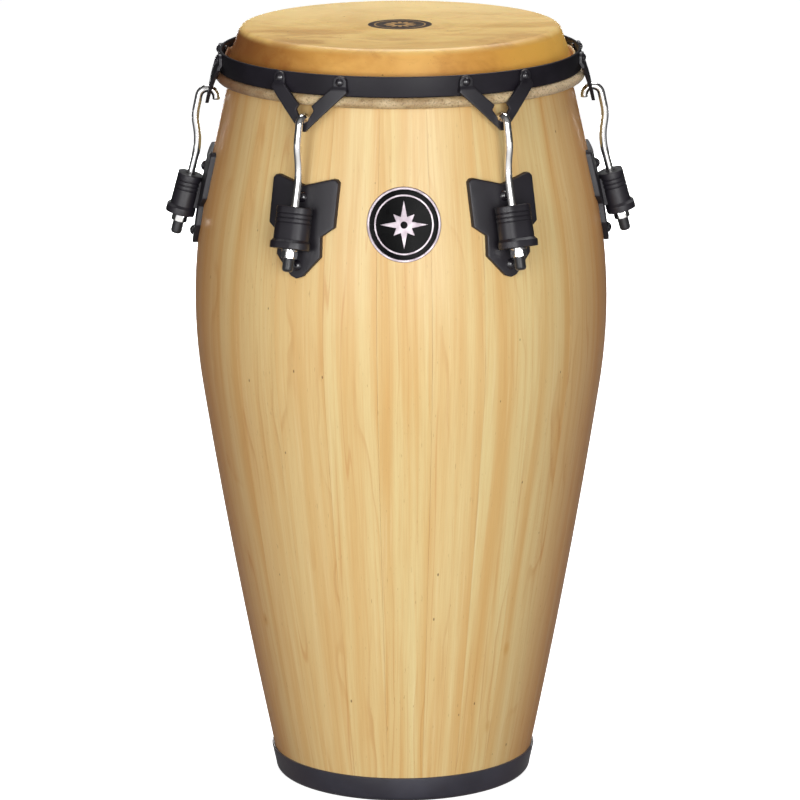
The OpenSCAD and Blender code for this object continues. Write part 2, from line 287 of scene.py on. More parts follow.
def plate(outline, thickness, edge, place, back_edge=0.0, cell=3.0):
    """A plate with rounded edges over an anticlockwise outline; place(u, v, d) bends it into shape."""
    outline = refined(outline, cell)
    turns = [math.radians(a) for a in (0, 25, 50, 70, 90)]
    rings = [(edge * (1 - math.cos(a)), thickness - edge * (1 - math.sin(a))) for a in turns]
    if back_edge:
        back = [(back_edge * (1 - math.cos(a)), back_edge * (1 - math.sin(a))) for a in reversed(turns)]
        rings = back + rings
    else:
        rings = [(0, 0)] + rings
    rows = [[(u, v, d) for u, v in inset(outline, shift)] for shift, d in rings]
    points, faces = skin(rows)
    for row, d in ((rows[0], rings[0][1]), (rows[-1], rings[-1][1])):
        flat = [Vector(p[:2]) for p in row]
        low = Vector((min(p.x for p in flat), min(p.y for p in flat)))
        high = Vector((max(p.x for p in flat), max(p.y for p in flat)))
        inner = [Vector((low.x + cell * (a + 0.5), low.y + cell * (b + 0.5)))
                 for a in range(int((high.x - low.x) / cell)) for b in range(int((high.y - low.y) / cell))]
        inner = [p for p in inner if min((p - q).length for q in flat) > cell * 0.5]
        ring = list(range(len(flat)))
        got = delaunay_2d_cdt(flat + inner, [], [ring], 1, 1e-4)
        offset = len(points)
        points += [(p.x, p.y, d) for p in got[0]]
        faces += [[offset + k for k in face] for face in got[2]]
    return [place(*p) for p in points], faces


# ---- Pieces ----

def piece(name, parts, body, material, sharp=38):
    """A new piece from mesh parts, riding on a CAD body, or free if body is None."""
    points, faces = [], []
    for part_points, part_faces in parts:
        start = len(points)
        points += part_points
        faces += [[start + k for k in face] for face in part_faces]
    mesh = bpy.data.meshes.new(name)
    mesh.from_pydata([Vector(p) * MM for p in points], [], faces)
    work = bmesh.new()
    work.from_mesh(mesh)
    bmesh.ops.remove_doubles(work, verts=work.verts, dist=1e-6)
    bmesh.ops.recalc_face_normals(work, faces=work.faces)
    work.to_mesh(mesh)
    work.free()
    mesh.materials.append(material)
    mesh.shade_smooth()
    mesh.set_sharp_from_angle(angle=math.radians(sharp))
    obj = bpy.data.objects.new(name, mesh)
    bpy.context.scene.collection.objects.link(obj)
    if body:
        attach(obj, body)
    return obj


# ---- Materials ----

def rgb(r, g, b):
    """A colour from its usual 0 to 255 values."""
    parts = [c / 255 for c in (r, g, b)]
    return tuple(c / 12.92 if c <= 0.04 else ((c + 0.055) / 1.055) ** 2.4 for c in parts) + (1,)


class Nodes:
    """A new material's node tree, with short calls to add to it."""

    def __init__(self, name):
        self.material = bpy.data.materials.new(name)
        self.material.use_nodes = True
        self.tree = self.material.node_tree
        self.surface = self.tree.nodes["Principled BSDF"]

    def put(self, node, **inputs):
        """Sets inputs by name, with _ for a space, to values or to other nodes' outputs."""
        for key, value in inputs.items():
            self.plug(node.inputs[key.replace("_", " ")], value)
        return node

    def plug(self, socket, value):
        """Sets one input socket to a value or links it to another node's output."""
        if isinstance(value, bpy.types.NodeSocket):
            self.tree.links.new(value, socket)
        else:
            socket.default_value = value

    def node(self, kind, **inputs):
        """A new node of a kind, its inputs set by name."""
        return self.put(self.tree.nodes.new("ShaderNode" + kind), **inputs)

    def math(self, operation, *values):
        """The result of a maths operation on values or outputs."""
        node = self.tree.nodes.new("ShaderNodeMath")
        node.operation = operation
        for socket, value in zip(node.inputs, values):
            self.plug(socket, value)
        return node.outputs[0]

    def scaled(self, vector, x, y, z):
        """A vector stretched by a factor along each axis."""
        node = self.tree.nodes.new("ShaderNodeVectorMath")
        node.operation = "MULTIPLY"
        self.plug(node.inputs[0], vector)
        node.inputs[1].default_value = (x, y, z)
        return node.outputs[0]

    def noise(self, vector, scale=1.0, detail=3.0, roughness=0.5, distortion=0.0):
        """Noise from about 0.2 to 0.8 at a vector."""
        node = self.node("TexNoise", Vector=vector, Scale=scale, Detail=detail,
                         Roughness=roughness, Distortion=distortion)
        return node.outputs["Fac"]

    def fade(self, value, low, high, out_low=0.0, out_high=1.0):
        """value from low to high, smoothly made out_low to out_high."""
        node = self.node("MapRange", From_Min=low, From_Max=high, To_Min=out_low, To_Max=out_high)
        node.interpolation_type = "SMOOTHSTEP"
        self.plug(node.inputs["Value"], value)
        return node.outputs["Result"]

    def mix(self, share, a, b):
        """Colour a turning into colour b as share goes from 0 to 1."""
        node = self.tree.nodes.new("ShaderNodeMix")
        node.data_type = "RGBA"
        for socket, value in zip((node.inputs[0], node.inputs[6], node.inputs[7]), (share, a, b)):
            self.plug(socket, value)
        return node.outputs[2]

    def attribute(self, name, output="Fac"):
        """A value stored on the mesh's points."""
        node = self.tree.nodes.new("ShaderNodeAttribute")
        node.attribute_name = name
        return node.outputs[output]

    def place(self):
        """Where a point is in its object's own space, in metres."""
        return self.node("TexCoord").outputs["Object"]

    def bump(self, height, distance, strength):
        """Raises the surface's fine detail by a height pattern."""
        node = self.node("Bump", Height=height, Distance=distance, Strength=strength)
        self.plug(self.surface.inputs["Normal"], node.outputs[0])

    def finish(self, **inputs):
        """Sets the surface's own inputs and gives back the material."""
        self.put(self.surface, **inputs)
        return self.material


def lacquered_wood():
    """Pale staves with growth rings cut lengthways, fibres, pores and a satin coat, and painted shade,
    darker and more orange, where they turn away from the view.
    """
    n = Nodes("lacquered_wood")
    board = n.attribute("board", "Vector")
    parts = n.node("SeparateXYZ", Vector=board).outputs
    dice = n.node("TexWhiteNoise")
    dice.noise_dimensions = "1D"
    n.plug(dice.inputs["W"], parts[2])
    luck = n.node("SeparateColor", Color=dice.outputs["Color"]).outputs

    # Growth rings: distance from a pith that wanders behind the board's face
    wander = n.noise(n.scaled(board, 0.012, 0.0032, 7.3), detail=2.0)
    ripple = n.noise(n.scaled(board, 0.05, 0.014, 3.1), detail=1.0)
    across = n.math("ADD", parts[0], n.math("MULTIPLY_ADD", luck[0], 90.0, -45.0))
    depth = n.math("MULTIPLY_ADD", luck[1], 34.0, 8.0)
    tilt = n.math("MULTIPLY_ADD", luck[2], 0.10, -0.05)
    depth = n.math("MULTIPLY_ADD", parts[1], tilt, depth)
    depth = n.math("MULTIPLY_ADD", wander, 46.0, depth)
    depth = n.math("MULTIPLY_ADD", ripple, 7.0, depth)
    pith = n.math("SQRT", n.math("ADD", n.math("POWER", across, 2.0), n.math("POWER", depth, 2.0)))
    ring = n.math("FRACT", n.math("DIVIDE", pith, n.math("MULTIPLY_ADD", luck[0], 5.0, 6.5)))
    late = n.math("MULTIPLY", n.fade(ring, 0.45, 0.93), n.fade(ring, 1.0, 0.95))
    line = n.math("MULTIPLY", n.fade(ring, 0.84, 0.93), n.fade(ring, 1.0, 0.95))

    # Tones: slow bands along the grain, with each stave its own
    bands = n.noise(n.scaled(board, 0.06, 0.0018, 5.7), detail=3.0, roughness=0.55)
    streaks = n.noise(n.scaled(board, 0.35, 0.006, 2.9), detail=4.0, roughness=0.6)
    fibres = n.noise(n.scaled(board, 2.2, 0.03, 1.7), detail=3.0, roughness=0.6)
    tone = n.mix(n.fade(bands, 0.34, 0.66), rgb(234, 211, 152), rgb(223, 182, 117))
    tone = n.mix(n.fade(luck[1], 0.2, 1.0, 0.0, 0.45), tone, rgb(232, 194, 134))
    tone = n.mix(n.fade(streaks, 0.5, 0.75, 0.0, 0.42), tone, rgb(220, 170, 104))
    tone = n.mix(n.fade(streaks, 0.45, 0.25, 0.0, 0.35), tone, rgb(244, 224, 174))
    strength = n.fade(n.noise(n.scaled(board, 0.02, 0.005, 9.1)), 0.4, 0.7, 0.0, 1.0)
    tone = n.mix(n.math("MULTIPLY", n.math("MULTIPLY", late, strength), 0.24), tone, rgb(214, 158, 90))
    tone = n.mix(n.math("MULTIPLY", n.math("MULTIPLY", line, strength), 0.36), tone, rgb(196, 134, 72))
    flow = n.noise(n.scaled(board, 0.055, 0.0016, 8.3), detail=1.0)
    vein = n.math("ABSOLUTE", n.math("SUBTRACT", flow, 0.5))
    here = n.fade(n.noise(n.scaled(board, 0.02, 0.004, 3.7)), 0.45, 0.6, 0.0, 0.45)
    tone = n.mix(n.math("MULTIPLY", n.fade(vein, 0.009, 0.001), here), tone, rgb(206, 142, 80))
    tone = n.mix(n.fade(fibres, 0.35, 0.65, 0.0, 0.16), tone, rgb(196, 150, 92))

    # Pores, specks and the thin dark glue lines between staves
    pores = n.noise(n.scaled(board, 1.1, 0.10, 4.3), detail=2.0)
    tone = n.mix(n.fade(pores, 0.70, 0.78, 0.0, 0.55), tone, rgb(150, 100, 52))
    speck = n.node("TexVoronoi", Vector=n.scaled(board, 0.05, 0.025, 1.3), Scale=1.0)
    tone = n.mix(n.fade(speck.outputs["Distance"], 0.05, 0.02, 0.0, 0.8), tone, rgb(110, 70, 38))
    knot = n.node("TexVoronoi", Vector=n.scaled(board, 0.013, 0.007, 5.3), Scale=1.0).outputs["Distance"]
    tone = n.mix(n.fade(knot, 0.07, 0.015, 0.0, 0.5), tone, rgb(202, 146, 70))
    tone = n.mix(n.fade(knot, 0.02, 0.008, 0.0, 0.5), tone, rgb(140, 92, 44))
    seam = n.fade(n.attribute("seam"), 0.9, 0.2)
    broken = n.fade(n.noise(n.scaled(board, 0.0, 0.012, 6.1), detail=4.0), 0.45, 0.7, 0.0, 0.4)
    tone = n.mix(n.math("MULTIPLY", seam, broken), tone, rgb(196, 142, 92))

    n.bump(n.math("ADD", n.math("MULTIPLY", fibres, 0.6), n.math("MULTIPLY", line, -0.5)), 0.00006, 0.6)
    # Painted shade: darker and more orange where the staves turn away from the view.
    facing = n.node("LayerWeight", Blend=0.5).outputs["Facing"]
    tone = n.mix(n.fade(facing, 0.22, 1.0, 0.0, 0.62), tone, rgb(208, 120, 50))
    gloss = n.fade(n.noise(n.place(), 9.0, 4.0), 0.3, 0.7, 0.34, 0.44)
    return n.finish(Base_Color=tone, Roughness=gloss, Specular_IOR_Level=0.3, Coat_Weight=0.12,
                    Coat_Roughness=0.22)


def bare_wood():
    """The same timber inside the shell, sanded but not lacquered."""
    n = Nodes("bare_wood")
    board = n.attribute("board", "Vector")
    bands = n.noise(n.scaled(board, 0.06, 0.0018, 5.7))
    fibres = n.noise(n.scaled(board, 1.6, 0.02, 1.7), detail=4.0)
    tone = n.mix(n.fade(bands, 0.3, 0.7), rgb(214, 184, 136), rgb(196, 156, 104))
    tone = n.mix(n.fade(fibres, 0.35, 0.7, 0.0, 0.4), tone, rgb(160, 118, 72))
    n.bump(fibres, 0.0002, 0.6)
    return n.finish(Base_Color=tone, Roughness=0.8)


def rawhide():
    """Translucent-looking hide: mottled cream and amber, darker down the collar, speckled on the roll, with
    painted shade on its left and front and painted light on its right and back.
    """
    n = Nodes("rawhide")
    place = n.place()
    collar = n.attribute("collar")
    roll = n.attribute("roll")
    cloud = n.noise(n.scaled(place, 0.55, 1.0, 1.0), 11.0, 5.0, 0.6, 0.9)
    mottle = n.noise(n.scaled(place, 0.6, 1.0, 1.0), 42.0, 5.0, 0.62, 0.5)
    brown = n.noise(n.scaled(place, 0.5, 1.0, 1.0), 19.0, 5.0, 0.65, 1.2)
    grain = n.noise(place, 420.0, 3.0, 0.6)
    across, along = n.node("SeparateXYZ", Vector=place).outputs[:2]
    top = n.mix(n.fade(cloud, 0.35, 0.68), rgb(232, 196, 122), rgb(214, 170, 98))
    top = n.mix(n.fade(mottle, 0.52, 0.72, 0.0, 0.5), top, rgb(192, 142, 72))
    # Brown patches, made stronger towards the front of the head as painted shade, then the back of the head
    # paled with painted light.
    top = n.mix(n.math("MULTIPLY", n.fade(brown, 0.44, 0.64), n.fade(along, 0.08, -0.13, 0.1, 0.85)),
                top, rgb(186, 140, 78))
    top = n.mix(n.fade(along, -0.05, 0.15, 0.0, 0.6), top, rgb(248, 222, 164))
    side = n.mix(n.fade(cloud, 0.35, 0.65), rgb(226, 172, 88), rgb(204, 146, 66))
    side = n.mix(n.fade(mottle, 0.5, 0.75, 0.0, 0.5), side, rgb(176, 114, 46))
    # Painted shade darkens the collar's left side, and painted light brightens its right side.
    side = n.mix(n.fade(across, -0.05, -0.15, 0.0, 0.8), side, rgb(122, 58, 24))
    side = n.mix(n.fade(across, 0.05, 0.16, 0.0, 0.75), side, rgb(250, 194, 88))
    tone = n.mix(n.fade(collar, 0.02, 0.16), top, side)
    low = n.mix(n.fade(mottle, 0.4, 0.7), rgb(196, 134, 62), rgb(168, 104, 44))
    tone = n.mix(n.fade(collar, 0.35, 1.0), tone, low)
    edge = n.mix(n.fade(mottle, 0.35, 0.62), rgb(212, 190, 150), rgb(170, 142, 102))
    # Painted shade darkens the roll's left side, and painted light brightens its right side.
    edge = n.mix(n.fade(across, -0.09, -0.17, 0.0, 0.85), edge, rgb(114, 66, 42))
    edge = n.mix(n.fade(across, 0.06, 0.17, 0.0, 0.6), edge, rgb(236, 212, 178))
    edge = n.mix(n.fade(n.noise(place, 560.0, 3.0), 0.48, 0.7, 0.0, 0.6), edge, rgb(112, 84, 54))
    tone = n.mix(n.fade(roll, 0.2, 0.8), tone, edge)

    # The hide's own pores, hair roots and a few stray dark specks
    roots = n.node("TexVoronoi", Vector=place, Scale=230.0).outputs["Distance"]
    tone = n.mix(n.fade(roots, 0.14, 0.06, 0.0, 0.22), tone, rgb(120, 80, 40))
    speck = n.node("TexVoronoi", Vector=place, Scale=48.0).outputs["Distance"]
    tone = n.mix(n.fade(speck, 0.06, 0.03, 0.0, 0.75), tone, rgb(96, 60, 28))
    tone = stamp(n, tone)

    n.bump(n.math("ADD", n.math("MULTIPLY", mottle, 0.7), n.math("MULTIPLY", grain, 0.3)), 0.0005, 0.5)
    gloss = n.fade(mottle, 0.3, 0.7, 0.36, 0.52)
    return n.finish(Base_Color=tone, Roughness=gloss, Subsurface_Weight=0.12, Subsurface_Scale=0.004,
                    Subsurface_Radius=(1.0, 0.6, 0.3), Coat_Weight=0.05, Coat_Roughness=0.45,
                    Specular_IOR_Level=0.35)


def stamp(n, tone):
    """A round ink stamp in the middle of the head, holding a plain twelve-petal rosette."""
    parts = n.node("SeparateXYZ", Vector=n.attribute("sheet", "Vector")).outputs
    reach = n.math("SQRT", n.math("ADD", n.math("POWER", parts[0], 2.0), n.math("POWER", parts[1], 2.0)))
    turn = n.math("ARCTAN2", parts[1], parts[0])
    petal = n.math("ABSOLUTE", n.math("COSINE", n.math("MULTIPLY", turn, 6.0)))
    petal_r = n.math("MULTIPLY_ADD", petal, 9.0, 6.0)
    inside = n.fade(n.math("SUBTRACT", reach, petal_r), 0.5, -0.5)
    outside_core = n.fade(reach, 5.0, 6.0)
    rings = n.math("MAXIMUM", n.math("MULTIPLY", n.fade(reach, 22.4, 22.8), n.fade(reach, 24.0, 23.6)),
                   n.math("MULTIPLY", inside, outside_core))
    top_only = n.fade(n.attribute("collar"), 0.02, 0.01)
    disc = n.math("MULTIPLY", n.fade(reach, 29.8, 29.2), top_only)
    worn = n.fade(n.noise(n.place(), 260.0, 4.0), 0.25, 0.5, 0.88, 1.0)
    ink = n.mix(rings, rgb(40, 22, 8), rgb(176, 136, 80))
    return n.mix(n.math("MULTIPLY", disc, worn), tone, ink)


def powder_coat(name, shine, rough=0.38):
    """Fine-textured black paint on steel and castings, with painted shade making it deeper where it turns
    away.
    """
    n = Nodes(name)
    place = n.place()
    fine = n.noise(place, 1500.0, 2.0)
    cloud = n.noise(place, 22.0, 4.0)
    tone = n.mix(n.fade(cloud, 0.35, 0.65), rgb(27, 24, 30), rgb(34, 31, 38))
    tone = n.mix(n.fade(n.noise(place, 180.0, 5.0, 0.7), 0.66, 0.78, 0.0, 0.25), tone, rgb(62, 60, 66))
    # Painted shade: near black where the surface turns away from the view.
    facing = n.node("LayerWeight", Blend=0.5).outputs["Facing"]
    tone = n.mix(n.fade(facing, 0.4, 0.95, 0.0, 0.7), tone, rgb(10, 9, 12))
    n.bump(fine, 0.00012, 0.5)
    return n.finish(Base_Color=tone, Roughness=n.fade(cloud, 0.3, 0.7, rough, rough + 0.12),
                    Specular_IOR_Level=shine)


def chrome():
    """Bright nickel-chrome with faint polishing marks."""
    n = Nodes("chrome")
    place = n.place()
    haze = n.noise(place, 60.0, 4.0)
    marks = n.noise(n.scaled(place, 900.0, 900.0, 60.0), 1.0, 3.0)
    tone = n.mix(n.fade(haze, 0.3, 0.7), rgb(236, 234, 230), rgb(222, 222, 224))
    n.bump(marks, 0.00004, 0.25)
    return n.finish(Base_Color=tone, Metallic=1.0, Roughness=n.fade(haze, 0.3, 0.7, 0.07, 0.14))


def satin_silver():
    """Brushed pale metal for the badge."""
    n = Nodes("satin_silver")
    place = n.place()
    haze = n.noise(place, 120.0, 4.0)
    brushed = n.noise(n.scaled(place, 2400.0, 2400.0, 200.0), 1.0, 3.0)
    tone = n.mix(n.fade(haze, 0.3, 0.7), rgb(190, 180, 186), rgb(164, 152, 160))
    n.bump(brushed, 0.00003, 0.3)
    return n.finish(Base_Color=tone, Metallic=0.8, Roughness=n.fade(haze, 0.3, 0.7, 0.45, 0.55))


def zinc():
    """Plated steel hardware, duller than chrome."""
    n = Nodes("zinc")
    place = n.place()
    haze = n.noise(place, 90.0, 5.0, 0.6)
    spangle = n.node("TexVoronoi", Vector=place, Scale=420.0).outputs["Distance"]
    tone = n.mix(n.fade(haze, 0.35, 0.65), rgb(188, 186, 178), rgb(160, 160, 156))
    tone = n.mix(n.fade(spangle, 0.2, 0.8, 0.0, 0.15), tone, rgb(120, 120, 116))
    n.bump(haze, 0.0001, 0.3)
    return n.finish(Base_Color=tone, Metallic=1.0, Roughness=n.fade(haze, 0.3, 0.7, 0.28, 0.42))


def rubber(name, dark, light, side, rough):
    """Moulded rubber: faint bloom, a fine pebble and painted shade, in another tone, where it turns away.
    """
    n = Nodes(name)
    place = n.place()
    bloom = n.noise(place, 14.0, 5.0, 0.6)
    pebble = n.noise(place, 900.0, 3.0)
    # Painted shade: the side colour where the surface turns away from the view.
    facing = n.node("LayerWeight", Blend=0.5).outputs["Facing"]
    tone = n.mix(n.fade(bloom, 0.35, 0.7), dark, light)
    tone = n.mix(n.fade(facing, 0.2, 0.7, 0.0, 0.65), tone, side)
    n.bump(pebble, 0.0002, 0.4)
    return n.finish(Base_Color=tone, Roughness=n.fade(bloom, 0.3, 0.7, rough, rough + 0.12),
                    Sheen_Weight=0.15, Sheen_Roughness=0.5)


def enamel():
    """Glossy black enamel with faint orange peel."""
    n = Nodes("enamel")
    place = n.place()
    peel = n.noise(place, 260.0, 2.0)
    cloud = n.noise(place, 40.0, 3.0)
    tone = n.mix(n.fade(cloud, 0.3, 0.7), rgb(3, 3, 4), rgb(8, 8, 9))
    n.bump(peel, 0.0001, 0.15)
    return n.finish(Base_Color=tone, Roughness=n.fade(cloud, 0.3, 0.7, 0.24, 0.34), Specular_IOR_Level=0.05)


WOOD = lacquered_wood()
BARE = bare_wood()
HIDE = rawhide()
BLACK = powder_coat("powder_coat", 0.5)
BAND_BLACK = powder_coat("band_paint", 0.2)
BOLT_BLACK = powder_coat("bolt_black", 1.0, 0.14)
CHROME = chrome()
ZINC = zinc()
# Each rubber's third colour is its painted shade where it turns away.
FOOT_RUBBER = rubber("foot_rubber", rgb(46, 44, 53), rgb(56, 55, 66), rgb(44, 27, 40), 0.42)
CAP_RUBBER = rubber("cap_rubber", rgb(30, 30, 33), rgb(40, 40, 44), rgb(24, 24, 27), 0.35)
ENAMEL = enamel()
SILVER = satin_silver()


# ---- Shell ----

def stave_profile():
    """(radius, height) points up a stave's outside and over the bearing edge, each with its inside one."""
    side_steps, edge_steps = 60, 12
    low = [WOOD_LOW + (EDGE_Z - WOOD_LOW) * k / side_steps for k in range(side_steps)]
    outside = [(min(side_r(z), collar_r(z)), z) for z in low]
    outside += arc(EDGE_C, EDGE_Z, EDGE_R, math.degrees(COLLAR_A), 90, edge_steps)
    inside = [(side_r(z, -WALL), z) for z in low]
    inside += [(side_r(EDGE_Z, -WALL), EDGE_Z + EDGE_R * k / edge_steps) for k in range(edge_steps + 1)]
    return list(zip(outside, inside))


def shell_staves():
    """Every stave as its own closed board, slightly eased along its outer corners."""
    glue_line = math.radians(0.015)
    half = math.pi / STAVES - glue_line
    ease = 0.06
    columns, inner_columns = 8, 4
    parts, board, seam = [], [], []
    profile = stave_profile()
    for k in range(STAVES):
        turn = 2 * math.pi * k / STAVES
        rows = []
        for (r_out, z_out), (r_in, z_in) in profile:
            tight = half - ease / r_out
            ring = [(-half, r_out - ease)]
            ring += [(-tight + 2 * tight * c / columns, r_out) for c in range(columns + 1)]
            ring += [(half, r_out - ease)]
            ring += [(half - 2 * half * c / inner_columns, r_in) for c in range(inner_columns + 1)]
            row = []
            for a, r in ring:
                z = z_in if r == r_in else z_out
                row.append((r * math.cos(turn + a), r * math.sin(turn + a), z))
                board += [a * r, z, float(k)]
                seam.append((half - abs(a)) * r)
            rows.append(row)
        parts.append(skin(rows, cap_ends=True))
    obj = piece("staved_shell", parts, "shell", WOOD)
    obj.data.materials.append(BARE)
    obj.data.attributes.new("board", "FLOAT_VECTOR", "POINT").data.foreach_set("vector", board)
    obj.data.attributes.new("seam", "FLOAT", "POINT").data.foreach_set("value", seam)
    for face in obj.data.polygons:
        centre = face.center / MM
        if math.hypot(centre.x, centre.y) < side_r(centre.z) - WALL + 1 and centre.z < WOOD_TOP - 1:
            face.material_index = 1
    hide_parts("shell_staves")


def foot():
    """Rubber bumper moulded round the shell's lower edge."""
    round_low, round_top = 6, 0.8
    lip = FOOT_R - max(side_r(round_low), side_r(FOOT_H))
    inner = side_r(WOOD_LOW) - WALL
    profile = [(inner, 0)]
    profile += arc(side_r(round_low) + lip - round_low, round_low, round_low, -90, 0, 10)
    profile += arc(side_r(FOOT_H) + lip - round_top, FOOT_H - round_top, round_top, 8, 90, 4)
    profile += [(side_r(FOOT_H) + GLUE, FOOT_H), (side_r(WOOD_LOW) + GLUE, WOOD_LOW), (inner, WOOD_LOW)]
    obj = piece("foot_rubber", [lathe(profile, 288)], "shell", FOOT_RUBBER)
    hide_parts("foot_bumper")


# ---- Head ----

def collar_profile():
    """The skin's outside from the head's centre to where the flap stands out from it."""
    flat = [(EDGE_C * k / 40, DRUM_H) for k in range(40)]
    bend = arc(EDGE_C, EDGE_Z, EDGE_R + SKIN_T, 90, math.degrees(COLLAR_A), 16)
    top, low = bend[-1][1], HOOP_Z + 11
    side = [(collar_r(z, SKIN_T), z) for z in (top - (top - low) * k / 14 for k in range(1, 15))]
    return flat, bend, side


def rawhide_head():
    """One sheet: the playing surface, the collar, the trimmed flap behind the rim and the hoop roll."""
    count = 360
    flat, bend, side = collar_profile()
    outer = FLAP_IN + FLAP_T
    flap = [(FLAP_IN - 0.1, HOOP_Z + 10.8), (FLAP_IN, HOOP_Z + 12), (FLAP_IN, FLAP_TOP - 3),
            (FLAP_IN + 0.1, FLAP_TOP - 0.5), (FLAP_IN + FLAP_T / 2, FLAP_TOP),
            (outer - 0.1, FLAP_TOP - 0.5), (outer, FLAP_TOP - 3), (outer, HOOP_Z + 8),
            (outer + 0.3, HOOP_Z + 5)]
    roll = arc(HOOP_C, HOOP_Z, ROLL_R, 130, -170, 34)
    low = HOOP_Z + 3
    inside = [(collar_r(z, GLUE), z) for z in (low + (EDGE_Z - low) * k / 10 for k in range(10))]
    inside += arc(EDGE_C, EDGE_Z, EDGE_R + GLUE, math.degrees(COLLAR_A), 90, 8)
    inside += [(EDGE_C * k / 10, WOOD_TOP + GLUE) for k in range(9, -1, -1)]
    profile = flat + bend + side + flap + roll + inside
    flap_from = len(flat + bend + side)
    roll_from = flap_from + len(flap)
    inside_from = roll_from + len(roll)
    rows = []
    for index, (r, z) in enumerate(profile):
        row = []
        for k in range(count):
            a = 2 * math.pi * k / count
            around = Vector((math.cos(a), math.sin(a), 0))
            grow, lift = 0.0, 0.0
            if index < len(flat):
                lift = 0.12 * noise.noise(around * r / 38) - 0.12
            elif index < flap_from:
                grow = 0.25 * noise.noise(Vector((around.x * 6, around.y * 6, z / 30)))
            elif index < roll_from and z > HOOP_Z + 13:
                lift = 2.2 * noise.noise(around * 9) + 1.1 * noise.noise(around * 31) - 1.0
                lift *= (z - HOOP_Z - 13) / (FLAP_TOP - HOOP_Z - 13)
            elif roll_from <= index < inside_from:
                spot = around * HOOP_C / 9 + Vector((0, 0, z / 7))
                grow = 0.35 * noise.noise(spot) + 0.2 * noise.noise(spot * 3.1) - 0.5
            row.append(((r + grow) * around.x, (r + grow) * around.y, z + lift))
        rows.append(row)
    return piece("rawhide_head", [skin(rows, close_rows=True)], None, HIDE, sharp=60)


def head():
    """The head, marked with how far down the collar it is, what is roll or flap, and its rest place."""
    obj = rawhide_head()
    places = [v.co / MM for v in obj.data.vertices]
    collar_h = 40
    down = [min(1, max(0, (DRUM_H - p.z) / collar_h)) for p in places]
    roll = [1.0 if math.hypot(p.x, p.y) > FLAP_IN - 0.3 and p.z < RIM_TOP else 0.0 for p in places]
    flat = [value for p in places for value in p]
    obj.data.attributes.new("collar", "FLOAT", "POINT").data.foreach_set("value", down)
    obj.data.attributes.new("roll", "FLOAT", "POINT").data.foreach_set("value", roll)
    obj.data.attributes.new("sheet", "FLOAT_VECTOR", "POINT").data.foreach_set("vector", flat)
    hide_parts("head_skin")
    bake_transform(obj)


# ---- Rim ----

def rim_band():
    """The low steel band, its edges eased."""
    inner = RIM_R - RIM_T
    box = [(inner, RIM_LOW), (RIM_R, RIM_LOW), (RIM_R, RIM_TOP), (inner, RIM_TOP)]
    part = lathe(rounded(box, 1.2, steps=5), 360)
    obj = piece("rim_band_steel", [part], "rim", BAND_BLACK)
    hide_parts("rim_band")


def claw_step(v):
    """How far a claw's front has left the band's side at a height: a sharp step, then a gentle slope."""
    below = max(0, BEND_Z - v)
    return min(below, CLAW_JOG) + max(0, below - CLAW_JOG) * math.tan(CLAW_A)


def claw_point(u, v, d):
    """A place on a claw: sideways, up and outwards from its back face."""
    level = v + (CLAW_T - d) * math.tan(math.pi / 8)
    steps = [claw_step(level + soften) for soften in (-0.5, 0, 0.5)]
    out = RIM_R + GLUE + d + sum(steps) / len(steps)
    return (math.sqrt(out ** 2 - u ** 2), u, v)


def claws():
    """V-shaped plates: two ears riveted to the band and a keyhole slot for the hook."""
    half = [(0, CLAW_LOW), (2.6, CLAW_LOW), (4.6, CLAW_LOW + 2.1), (ARM_OUT, 675.5), (EAR_OUT, 680.5)]
    half += arc(EAR_OUT - EAR_ROUND, CLAW_TOP - EAR_ROUND, EAR_ROUND, 0, 90, 6)
    half += arc(EAR_IN + EAR_ROUND, CLAW_TOP - EAR_ROUND, EAR_ROUND, 90, 180, 6)
    half += [(EAR_IN, 679.5), (6.5, 662.3), (8.8, 658.8), (8.8, 657.6)]
    half += arc(0, SLOT_Z, SLOT_R, 0, -90, 8)
    part = plate(mirrored(half), CLAW_T, 0.6, claw_point, back_edge=0.5, cell=1.2)
    for i in STATIONS:
        obj = piece(f"claw_{i}", [at_station(part, i)], "rim", BLACK)
        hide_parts(f"rim_claw_{i}")


def dome(r, h, shank_r, shank):
    """A domed head on z = 0 with its shank below."""
    ball = (r * r + h * h) / (2 * h)
    reach = math.degrees(math.asin(min(1, r / ball)))
    cap = arc(0, h - ball, ball, 90 - reach, 89, 8)
    return lathe([(shank_r, -shank), (shank_r, 0), (r - 0.2, 0), (r, 0.25)] + cap[1:], 32, closed=False)


def rivets():
    """Two round-headed rivets a claw, and their heads inside the band."""
    parts = []
    inner_head = lathe(rounded([(0.2, -1.2), (3.6, -1.2), (3.6, 0), (0.2, 0)], 0.6), 32)
    for i in STATIONS:
        for turn in (-RIVET_TURN, RIVET_TURN):
            seat = Matrix.Translation((RIM_R, 0, RIVET_Z)) @ Matrix.Rotation(math.pi / 2, 4, "Y")
            front = seat @ Matrix.Translation((0, 0, CLAW_T + GLUE))
            outside = moved(dome(3.8, 2.6, 2.4, RIM_T + CLAW_T), front)
            inside = moved(inner_head, seat @ Matrix.Translation((0, 0, -RIM_T - GLUE)))
            parts += [turned(p, 60 * (i - 1) + turn) for p in (outside, inside)]
    obj = piece("rivets", parts, "rim", BOLT_BLACK)
    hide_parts("rim_rivets")


# ---- Lugs ----

def plate_point(u, v, d):
    """A place on a lug plate: sideways, up and outwards from the shell."""
    out = side_r(v, GLUE + d)
    return (math.sqrt(out ** 2 - u ** 2), u, v)


